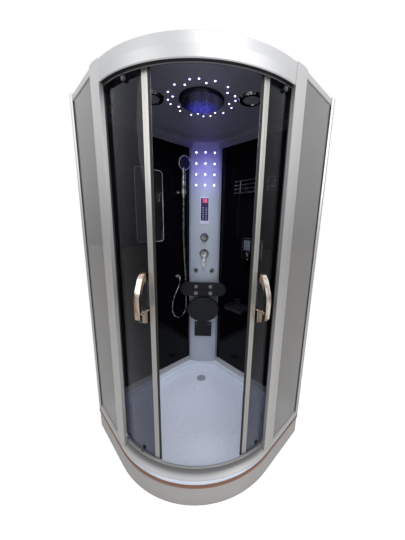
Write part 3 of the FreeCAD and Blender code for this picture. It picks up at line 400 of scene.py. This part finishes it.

# %% [markdown]
# ## Chrome and the other metals
# Handles, jets, valves and small fittings are chromed.  Chrome shows what it mirrors, and a plain studio
# would leave it blank.  So reflections are painted into its colour: its noise swings between a dark and a
# bright tone with more contrast, as the room round a real cabin would show in it.  The darkest chromes,
# on the jet rings, the ceiling lamps and the roller mounts, paint dark reflections.  The metals at the back
# are brass, steel and a painted frame.

# %% Chrome and the other metals
# The chromes with raised contrast paint reflections into their colour; the darkest paint dark reflections.
chrome = finish("polished_chrome", (0.30, 0.30, 0.31), (0.90, 0.90, 0.92), 0.09, 0.06, 34, 60,
                bump=0.02, contrast=3.0, Metallic=1.0)
chrome_painted_dark_reflections = finish("chrome_painted_dark_reflections", (0.012, 0.012, 0.014), (0.50, 0.50, 0.52), 0.10, 0.06, 90, 60,
                     bump=0.02, contrast=4.0, Metallic=1.0)
rim_chrome = finish("rim_chrome", (0.62, 0.66, 0.74), (0.80, 0.84, 0.90), 0.3, 0.06, 40, 60,
                    bump=0.02, Metallic=0.3)
mount_chrome = finish("mount_chrome", (0.09, 0.09, 0.095), (0.40, 0.41, 0.41), 0.25, 0.06, 60, 60,
                      bump=0.02, contrast=3.0, Metallic=0.7)
hose_chrome = finish("hose_chrome", (0.10, 0.10, 0.10), (0.62, 0.61, 0.60), 0.18, 0.1, 60, 200,
                     contrast=3.0, Metallic=1.0)
handle_chrome = finish("handle_chrome", (0.42, 0.24, 0.14), (0.86, 0.82, 0.76), 0.12, 0.06, 16, 60,
                       (3, 3, 0.6), 0.02, contrast=3.5, Metallic=1.0)
satin_grey = finish("satin_grey", (0.42, 0.43, 0.46), (0.50, 0.51, 0.54), 0.38, 0.1, 20, 200,
                    bump=0.03, Metallic=0.5)
copper = finish("copper_trim", (0.25, 0.115, 0.07), (0.34, 0.17, 0.11), 0.36, 0.15, 5, 200,
                (0.1, 0.1, 3), 0.1, Metallic=0.75)
brass = finish("valve_brass", (0.72, 0.55, 0.28), (0.60, 0.44, 0.22), 0.35, 0.15, 8, 150,
               bump=0.1, Metallic=1.0)
steel = finish("tank_steel", (0.58, 0.58, 0.59), (0.66, 0.66, 0.66), 0.34, 0.15, 4, 180,
               (3, 3, 0.1), 0.1, Metallic=1.0)
paint = finish("base_paint", (0.10, 0.10, 0.11), (0.14, 0.14, 0.15), 0.5, 0.15, 6, 220, bump=0.2)
wear(chrome, "seat_pin", "diverter_knob", "mixer_hub", "mixer_lever", "towel_rack", "dispenser_button_near",
     "dispenser_button_far", "handset_bracket", "handset_cradle", "handset", "wall_outlet", "dispenser_body")
wear(satin_grey, "drain_cover")
wear(chrome_painted_dark_reflections, "valve_and_jet_rings", "ceiling_lamps")
wear(mount_chrome, "roller_mounts_left", "roller_mounts_right")
wear(handle_chrome, "door_handle_left", "door_handle_right")
wear(copper, "trim_strip")
wear(brass, "plumbing")
wear(steel, "steam_generator")
wear(paint, "base_frame")

# %% [markdown]
# ## Plastics
# The tray and its apron are glossy acrylic, so they get a thin coat over a rougher base.  The seat and the
# backrest are moulded in black with a fine grain, which a bump shows well enough without any geometry.
# The door wheels are dark nylon, and the seals are rubber.

# %% Plastics and rubber
tray_acrylic = finish("tray_acrylic", (0.66, 0.69, 0.77), (0.72, 0.74, 0.81), 0.22, 0.08, 3, 240,
                      bump=0.03, Coat_Weight=0.4, Coat_Roughness=0.08)
apron_acrylic = finish("apron_acrylic", (0.42, 0.40, 0.38), (0.47, 0.455, 0.44), 0.30, 0.08, 2.5, 300,
                       bump=0.03, Coat_Weight=0.3, Coat_Roughness=0.12)
black_mould = finish("black_moulding", (0.006, 0.0065, 0.008), (0.012, 0.012, 0.014), 0.46, 0.15, 8, 900,
                     bump=0.3, depth=0.0002, Specular_IOR_Level=0.3)
black_foam = finish("backrest_foam", (0.005, 0.0055, 0.007), (0.010, 0.010, 0.012), 0.5, 0.15, 8, 700,
                    bump=0.35, depth=0.0003, Specular_IOR_Level=0.3)
rubber = finish("seal_rubber", (0.02, 0.02, 0.02), (0.035, 0.035, 0.035), 0.6, 0.15, 10, 400, bump=0.2)
drain_grey = finish("drain_plastic", (0.62, 0.62, 0.61), (0.70, 0.70, 0.69), 0.5, 0.1, 8, 300, bump=0.1)
nylon = finish("wheel_nylon", (0.045, 0.047, 0.05), (0.07, 0.072, 0.075), 0.4, 0.1, 12, 300, bump=0.1)
roof_acrylic = finish("roof_acrylic", (0.215, 0.22, 0.265), (0.27, 0.275, 0.33), 0.38, 0.08, 2, 300,
                      bump=0.03, Specular_IOR_Level=0.3)
shower_dark = finish("shower_plate", (0.008, 0.009, 0.020), (0.014, 0.015, 0.03), 0.25, 0.1, 8, 300, bump=0.04)
# The disc's emission strength drives the painted blue gleam of specks set up further below.
disc_dark = finish("shower_disc", (0.006, 0.007, 0.014), (0.012, 0.013, 0.022), 0.16, 0.1, 8, 300,
                   bump=0.04, Emission_Strength=0.7, Specular_IOR_Level=0.25)
panel_case = finish("panel_case", (0.58, 0.56, 0.68), (0.66, 0.64, 0.76), 0.3, 0.1, 12, 300, bump=0.02)
keypad_film = finish("keypad_film", (0.010, 0.011, 0.045), (0.022, 0.018, 0.075), 0.3, 0.1, 12, 500)
wear(tray_acrylic, "tray")
wear(apron_acrylic, "apron_panel")
wear(black_mould, "seat", "seat_bracket", "soap_shelf")
wear(black_foam, "backrest")
wear(rubber, "glazing_gaskets", "door_seal_left", "door_seal_right")
wear(drain_grey, "drain_trap")
wear(nylon, *[name for name in nodes if name.startswith("wheel_")])
wear(roof_acrylic, "roof_panel")
wear(disc_dark, "overhead_shower")
wear(panel_case, "control_panel")
wear(keypad_film, "control_keypad")


# %% [markdown]
# ## Painted gleam on the overhead disc
# The blue lamps show in the underside of the disc as a cloud of specks, strongest at one spot and gone a
# hand's width from it.  This reflection is painted: the disc itself glows blue in specks.  Heights count six
# times, so the painted gleam keeps to the face and spares the inlet above.

# %% Blue gleam
def painted_gleam_specks(material, spot, taller, colour):
    """Emission in specks that fade away from a spot, a painted reflection; heights count as often as taller says.
    """
    tree = material.node_tree
    place = add(tree, "TexCoord")
    stretched = add(tree, "Mapping", Scale=(1, 1, taller))
    from_spot = add(tree, "VectorMath", "DISTANCE")
    from_spot.inputs[1].default_value = (spot[0], spot[1], spot[2] * taller)
    fade = add(tree, "MapRange", From_Min=0.02, From_Max=0.10, To_Min=1.0, To_Max=0.0)
    specks = add(tree, "TexNoise", Scale=130, Detail=1)
    dotted = add(tree, "MapRange", From_Min=0.42, From_Max=0.62, To_Min=0.12, To_Max=1.0)
    share = math_node(tree, "MULTIPLY")
    gleam = add(tree, "Mix")
    gleam.data_type = "RGBA"
    set_sockets(gleam, {"A": (0, 0, 0, 1), "B": (*colour, 1)})
    for source, target in (
            (place.outputs["Object"], stretched.inputs["Vector"]),
            (stretched.outputs["Vector"], from_spot.inputs[0]),
            (from_spot.outputs["Value"], fade.inputs["Value"]),
            (place.outputs["Object"], specks.inputs["Vector"]),
            (specks.outputs["Fac"], dotted.inputs["Value"]),
            (fade.outputs[0], share.inputs[0]),
            (dotted.outputs[0], share.inputs[1]),
            (share.outputs[0], gleam.inputs["Factor"]),
            (gleam.outputs["Result"], tree.nodes["Principled BSDF"].inputs["Emission Color"])):
        tree.links.new(source, target)


# The painted reflection of the blue column lamps on the disc.
painted_gleam_specks(disc_dark, (0, -0.055, 2.064), 6, (0.07, 0.07, 0.9))


# %% [markdown]
# ## Glass
# The doors and the sides are tinted sheets, the back walls glossy black ones, and a mirror hangs on one.  A
# sheet could be faked with plain transparency, but these are 5 mm thick, so they refract and show their
# edges.  Lamps can't shine through refracting glass directly, so for shadow rays it turns into a filter.

# %% Glass materials
def glass(name, tint, second, rough, filter_colour, clear_share, index):
    """A refracting finish that lets lamps through as a filter of its own colour."""
    material = finish(name, tint, second, rough, 0.01, 1.5, 6, bump=0.0, Transmission_Weight=clear_share, IOR=index)
    tree = material.node_tree
    ray = add(tree, "LightPath")
    clear = add(tree, "BsdfTransparent", Color=(*filter_colour, 1))
    pick = add(tree, "MixShader")
    tree.links.new(ray.outputs["Is Shadow Ray"], pick.inputs[0])
    tree.links.new(tree.nodes["Principled BSDF"].outputs[0], pick.inputs[1])
    tree.links.new(clear.outputs[0], pick.inputs[2])
    tree.links.new(pick.outputs[0], tree.nodes["Material Output"].inputs["Surface"])
    return material


door_glass = glass("door_glass", (0.16, 0.165, 0.20), (0.20, 0.205, 0.24), 0.01, (0.5, 0.5, 0.52), 1.0, 1.3)
side_glass = glass("side_glass", (0.46, 0.45, 0.44), (0.52, 0.51, 0.50), 0.06, (0.3, 0.3, 0.3), 0.6, 1.35)
wall_gloss = finish("black_wall_glass", (0.0012, 0.0012, 0.0020), (0.0022, 0.0018, 0.0026), 0.05, 0.03, 1.5, 40,
                    bump=0.0, Specular_IOR_Level=0.13)
silvered = finish("silvered_mirror", (0.86, 0.87, 0.88), (0.90, 0.91, 0.92), 0.02, 0.01, 2, 20,
                  bump=0.0, Metallic=1.0)
wear(door_glass, "door_glass_left", "door_glass_right")
wear(side_glass, "side_glass")
wear(wall_gloss, "wall_glass")
wear(silvered, "mirror")

# %% [markdown]
# ## Lamps
# The small lamps are milky caps lit from inside with a cold violet-white.  A real lamp in each of the 36
# would cost much time and leave noise, so the caps only glow, and soft lamps at the end carry their light.

# %% Lamp caps
lamp_cap = finish("lamp_cap", (0.80, 0.80, 1.0), (0.9, 0.9, 1.0), 0.2, 0.05, 20, 200, bump=0.0,
                  Emission_Strength=6.0, Emission_Color=(0.55, 0.50, 1.0, 1))
wear(lamp_cap, "led_lamps")


# %% [markdown]
# ## The hose
# The hand shower's hose is a metal tube.  It could be swept in straight and bent pieces, as the solid is,
# but a NURBS curve through the same route bends more smoothly.  It runs from the nut of the hand shower down
# behind the backrest and up again to the outlet.  The corner of the room lies behind the middle of the
# cabin, and a point on a wall is a distance along it, a distance out of it and a height.

# %% Points on the left wall, and tubes
CORNER_Y = 0.58574957
COS_45 = math.sqrt(0.5)


def left_wall(along, out_by, z):
    """The place of a point on the left wall."""
    return Vector(((out_by - along) * COS_45, CORNER_Y - (along + out_by) * COS_45, z))


def tube(name, kind, points, radius, roundness, material):
    """A curve object of round section through points."""
    curve = bpy.data.curves.new(name, "CURVE")
    curve.dimensions = "3D"
    curve.bevel_depth = radius
    curve.bevel_resolution = roundness
    spline = curve.splines.new(kind)
    spline.points.add(len(points) - 1)
    for point, place in zip(spline.points, points):
        point.co = (*place, 1)
    curve.materials.append(material)
    made = bpy.data.objects.new(name, curve)
    bpy.context.scene.collection.objects.link(made)
    print(name, "through", len(points), "points")
    return made


# %% Hose
HOSE_ROUTE = (
    (0.303, 0.076, 1.6325), (0.303, 0.076, 1.520), (0.302, 0.070, 1.350), (0.284, 0.056, 1.180),
    (0.262, 0.042, 1.020), (0.247, 0.030, 0.870), (0.240, 0.027, 0.750), (0.248, 0.029, 0.676),
    (0.294, 0.032, 0.634), (0.350, 0.036, 0.642), (0.390, 0.039, 0.686), (0.398, 0.040, 0.750),
    (0.381, 0.040, 0.822), (0.350, 0.040, 0.880), (0.318, 0.040, 0.925), (0.318, 0.040, 0.974),
)
shower_hose = tube("shower_hose", "NURBS", [left_wall(*point) for point in HOSE_ROUTE], 0.007, 4, hose_chrome)
shower_hose.data.resolution_u = 8
spline = shower_hose.data.splines[0]
spline.order_u = 3
spline.use_endpoint_u = True
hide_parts("hose")
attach(shower_hose, "cabin")

# %% [markdown]
# ## Tray
# The tray floor has low round bumps against slipping, in a square pattern turned by 45 degrees.  They could
# be raised out of the tray's own mesh, but a flattened ball that stands in the floor looks the same and has
# few faces.  They keep to the flat of the basin, between the ledges at the walls and the front arc.

# %% Objects from a bmesh
def put(name, bm, material, body="cabin", sharp=35):
    """An object from a bmesh, smooth up to an angle and the body that carries it."""
    bmesh.ops.recalc_face_normals(bm, faces=bm.faces)
    mesh = bpy.data.meshes.new(name)
    bm.to_mesh(mesh)
    bm.free()
    mesh.shade_smooth()
    mesh.set_sharp_from_angle(angle=math.radians(sharp))
    mesh.materials.append(material)
    made = bpy.data.objects.new(name, mesh)
    bpy.context.scene.collection.objects.link(made)
    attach(made, body)
    print(name, len(mesh.polygons), "faces")
    return made


# %% Anti-slip bumps
BUMP = (0.0074, 0.0074, 0.0034)
STEP_X, STEP_Y, FIRST_Y = 0.047, 0.0475, -1.033
BACK_Y, FLOOR_Z = -0.38, 0.108
FLAT_FROM, FLAT_TO = 0.125, 0.885
ARC_CENTRE, ARC_RADIUS = 0.4, 0.478

bm = bmesh.new()
for row in range(14):
    for column in range(-9, 10):
        if (row + column) % 2 == 0:
            continue
        x, y = STEP_X * column, FIRST_Y + STEP_Y * row
        along_left, along_right = (-y - x) * COS_45, (-y + x) * COS_45
        inside = FLAT_FROM < min(along_left, along_right) and max(along_left, along_right) < FLAT_TO
        reach = math.hypot(max(along_left - ARC_CENTRE, 0), max(along_right - ARC_CENTRE, 0))
        if inside and reach < ARC_RADIUS and y < BACK_Y:
            shape = Matrix.Translation((x, y + CORNER_Y, FLOOR_Z)) @ Matrix.Diagonal((*BUMP, 1))
            bmesh.ops.create_uvsphere(bm, u_segments=10, v_segments=6, radius=1, matrix=shape)
put("tray_bumps", bm, tray_acrylic, sharp=60)

# %% [markdown]
# ## Lamp rings
# Each small lamp of the column sits in a thin bright ring.  The ring is a small circle, spun once round, so
# its thickness and its number of steps can be chosen freely.  The outer ones are turned outwards a little,
# as the column's face is.

# %% A ring that faces a direction
def facing(direction):
    """A turn that carries +Z to the given direction."""
    return Vector(direction).to_track_quat("Z", "Y").to_matrix().to_4x4()


def ring(bm, place, radius, thick, steps, sides):
    """A ring of round section, made by spinning a small circle."""
    section = Matrix.Translation((radius, 0, 0)) @ Matrix.Rotation(math.pi / 2, 4, "X")
    start = bmesh.ops.create_circle(bm, segments=sides, radius=thick, matrix=section)
    edges = list({edge for vert in start["verts"] for edge in vert.link_edges})
    before = set(bm.verts) - set(start["verts"])
    bmesh.ops.spin(bm, geom=start["verts"] + edges, cent=(0, 0, 0), axis=(0, 0, 1), angle=math.tau, steps=steps,
                   use_merge=True)
    bmesh.ops.transform(bm, matrix=place, verts=[vert for vert in bm.verts if vert not in before])


# %% Rings round the small lamps
bm = bmesh.new()
for row in range(4):
    for column in (-1, 0, 1):
        x, z = 0.0715 * column, 1.974 - 0.0803 * row
        surface_y = CORNER_Y - 0.1801 + 0.0067 * abs(column)
        ring(bm, Matrix.Translation((x, surface_y, z)) @ facing((0.19 * column, -1, 0)), 0.0076, 0.0010, 20, 6)
put("lamp_rings", bm, chrome)


# %% [markdown]
# ## Control panel
# The keypad is a dark film with a red figure display at the top and two columns of pale key signs.  A text
# object could show the figures, but such displays light flat bars, so each figure is built from bars.

# %% Panel display and key signs
def bar(bm, x, z, width, height, y):
    """A flat bar that stands out of the film by less than a millimetre."""
    shape = Matrix.Translation((x, y, z)) @ Matrix.Diagonal((width, 0.0008, height, 1))
    bmesh.ops.create_cube(bm, size=1.0, matrix=shape)


glow_red = finish("red_segments", (0.9, 0.05, 0.06), (1.0, 0.1, 0.1), 0.4, 0.05, 30, 200, bump=0.0,
                  Emission_Strength=2.2, Emission_Color=(1.0, 0.16, 0.34, 1))
sign_white = finish("key_signs", (0.62, 0.62, 0.75), (0.75, 0.75, 0.85), 0.4, 0.05, 30, 200, bump=0.0,
                    Emission_Strength=0.9, Emission_Color=(0.7, 0.7, 1.0, 1))
DIGITS_Y, SIGNS_Y = CORNER_Y - 0.1922, CORNER_Y - 0.1934
# Each segment of a digit: to the side, up or down, and whether it lies flat.
SEGMENTS = {"a": (0, 1, 1), "b": (1, 0.5, 0), "c": (1, -0.5, 0), "d": (0, -1, 1), "e": (-1, -0.5, 0),
            "f": (-1, 0.5, 0), "g": (0, 0, 1)}
bm = bmesh.new()
for x_place, lit in ((-0.011, "abgcd"), (0.011, "abcdefg")):
    for letter in lit:
        side, height, flat = SEGMENTS[letter]
        size = (0.010, 0.0022) if flat else (0.0022, 0.010)
        bar(bm, x_place + 0.0062 * side, 1.612 + 0.0118 * height, *size, DIGITS_Y)
put("display_digits", bm, glow_red, sharp=20)
bm = bmesh.new()
for row in range(6):
    for column in (-1, 1):
        x, z = 0.013 * column, 1.472 + 0.017 * row
        bar(bm, x, z, 0.008, 0.0018, SIGNS_Y)
        bar(bm, x - 0.0025 * column, z + 0.0026, 0.003, 0.0018, SIGNS_Y)
put("key_signs", bm, sign_white, sharp=20)

# %% [markdown]
# ## Overhead shower
# Small rubber nozzles stand in rings on the underside of the big disc.  A modifier could repeat one, but it
# would need a helper object for each ring.  A loop over the rings sets each cone straight in its place.

# %% Cones on rings
def round_spots(rings):
    """Evenly spaced spots on rings, each given as its count and radius."""
    for count, radius in rings:
        for i in range(count):
            turn = math.tau * i / count
            yield radius * math.sin(turn), radius * math.cos(turn)


def nozzle(bm, spot, base, tip, height, lift, sides):
    """A small cone along +Z of spot, its middle lifted off it."""
    bmesh.ops.create_cone(bm, cap_ends=True, segments=sides, radius1=base, radius2=tip, depth=height,
                          matrix=spot @ Matrix.Translation((0, 0, lift)))


# %% Nozzles of the overhead shower
DISC_Y, DISC_FACE_Z = CORNER_Y - 0.701, 2.0643
down = Matrix.Rotation(math.pi, 4, "X")
bm = bmesh.new()
for x, y in round_spots(((1, 0.0), (8, 0.025), (14, 0.05), (20, 0.075), (26, 0.1))):
    nozzle(bm, Matrix.Translation((x, DISC_Y + y, DISC_FACE_Z)) @ down, 0.0022, 0.0012, 0.003, 0.0015, 8)
put("roof_nozzles", bm, rubber)

# %% [markdown]
# ## Ceiling lamp faces
# Each ceiling lamp has a matt grey face inside its dark ring.  It is a flat cylinder with a rounded front
# edge, because a sharp edge would catch no light.

# %% A disc with a rounded front edge
def disc(bm, place, radius, depth, bevel, sides):
    """A short cylinder that grows along +Z of place, with its front edge rounded."""
    made = bmesh.ops.create_cone(bm, cap_ends=True, segments=sides, radius1=radius, radius2=radius, depth=depth,
                                 matrix=place @ Matrix.Translation((0, 0, depth / 2)))
    ahead = place.to_3x3() @ Vector((0, 0, 1))
    front = place.translation.dot(ahead) + depth * 0.99
    rim = [edge for edge in bm.edges if edge.verts[0] in made["verts"]
           and all(vert.co.dot(ahead) > front for vert in edge.verts)]
    bmesh.ops.bevel(bm, geom=rim, offset=bevel, segments=3, profile=0.5, affect="EDGES", material=-1)


# %% Lamp faces
face_grey = finish("lamp_face", (0.16, 0.165, 0.19), (0.30, 0.31, 0.34), 0.5, 0.2, 60, 700, bump=0.6, depth=0.001)
bm = bmesh.new()
for x in (-0.262, 0.262):
    disc(bm, Matrix.Translation((x, CORNER_Y - 0.722, 2.0758)) @ down, 0.0415, 0.003, 0.001, 40)
put("lamp_faces", bm, face_grey)

# %% [markdown]
# ## Hand shower face
# The spray face is a dark plate with rings of nozzles inside a bright rim.  The disc, the cones and the ring
# from above serve again, turned to the way the head points.  They move with the hand shower.

# %% Spray face
spray_axis = Vector((COS_45 * 0.9806, -COS_45 * 0.9806, -0.1961))
spray_place = Matrix.Translation(left_wall(0.303, 0.0907, 1.8710)) @ facing(spray_axis)
bm = bmesh.new()
disc(bm, spray_place @ Matrix.Translation((0, 0, -0.0008)), 0.047, 0.0026, 0.001, 48)
put("spray_plate", bm, shower_dark, "handset")
bm = bmesh.new()
for x, y in round_spots(((6, 0.010), (12, 0.021), (18, 0.031), (24, 0.040))):
    nozzle(bm, spray_place @ Matrix.Translation((x, y, 0.0016)), 0.0014, 0.0008, 0.0016, 0.0006, 6)
put("spray_nozzles", bm, rubber, "handset")
bm = bmesh.new()
ring(bm, spray_place @ Matrix.Translation((0, 0, 0.0002)), 0.0485, 0.0013, 48, 8)
put("spray_rim", bm, rim_chrome, "handset")

# %% [markdown]
# ## Mirror edge
# The mirror's edge is ground to a narrow bevel, which catches the light as a thin bright line.  The sheet
# stays as its source has it, and a fine round line along its rounded outline stands for the bevel; its pale
# colour is a painted highlight.

# %% Bevel line of the mirror
CORNER_RADIUS, STEPS = 0.0268, 6
outline = []
for corner, (side, rise) in enumerate(((-1, -1), (1, -1), (1, 1), (-1, 1))):
    for step in range(STEPS + 1):
        turn = math.radians(180 + 90 * corner + 90 / STEPS * step)
        along = 0.556 + side * 0.080 + CORNER_RADIUS * math.cos(turn)
        z = 1.547 + rise * 0.225 + CORNER_RADIUS * math.sin(turn)
        outline.append(left_wall(along, 0.0168, z))
# A pale tube along the outline: the bevel's painted highlight.
bevel_highlight_line = tube("bevel_highlight_line", "POLY", outline, 0.0012, 2, rim_chrome)
bevel_highlight_line.data.splines[0].use_cyclic_u = True
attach(bevel_highlight_line, "cabin")

# %% [markdown]
# ## Dispenser windows
# Two smoked windows show the level of the soap.  Each is a small box with softened edges, turned to the
# right wall, and thick enough to be seen as a window of its own.

# %% Windows
WINDOW = (0.0545, 0.0725, 0.003)


def right_wall(along, out_by, z):
    """The place of a point on the right wall."""
    return Vector(((along - out_by) * COS_45, CORNER_Y - (along + out_by) * COS_45, z))


window_smoke = finish("window_smoke", (0.035, 0.04, 0.055), (0.10, 0.11, 0.13), 0.2, 0.05, 30, 100, bump=0.0,
                      contrast=2.0, Coat_Weight=0.4)
wall_out = Vector((-COS_45, -COS_45, 0))
wall_along = Vector((COS_45, -COS_45, 0))
right_turn = Matrix((wall_along, Vector((0, 0, 1)), wall_out)).transposed().to_4x4()
bm = bmesh.new()
for along in (0.529, 0.619):
    place = Matrix.Translation(right_wall(along, 0.012 + 0.0600, 1.285)) @ right_turn
    made = bmesh.ops.create_cube(bm, size=1.0, matrix=place @ Matrix.Diagonal((*WINDOW, 1)))
    edges = list({edge for vert in made["verts"] for edge in vert.link_edges})
    bmesh.ops.bevel(bm, geom=edges, offset=0.001, segments=2, profile=0.5, affect="EDGES", material=-1)
put("dispenser_windows", bm, window_smoke)

# %% [markdown]
# ## Light inside
# The lamps on the column and round the roof shower tint the upper part of the cabin violet, and the white
# tray spreads their light.  Three soft lamps stand for that glow, and the glossy walls don't mirror them.

# %% Inside lamps
glow_column = soft_lamp("glow_column", (0, CORNER_Y - 0.44, 1.85), (0, CORNER_Y - 0.16, 1.85), 0.20, 0.30,
                        (0.20, 0.12, 1.0))
glow_column.data.spread = math.radians(95)
glow_roof = soft_lamp("glow_roof", (0, CORNER_Y - 0.94, 1.99), (0, CORNER_Y - 0.96, 0), 0.40, 14.0,
                      (0.80, 0.86, 1.0))
glow_low = soft_lamp("glow_low", (0, CORNER_Y - 0.80, 0.62), (0, CORNER_Y - 0.2, 0.62), 0.40, 1.3,
                     (0.80, 0.88, 1.0))
for lamp in (glow_column, glow_roof, glow_low):
    lamp.visible_glossy = False
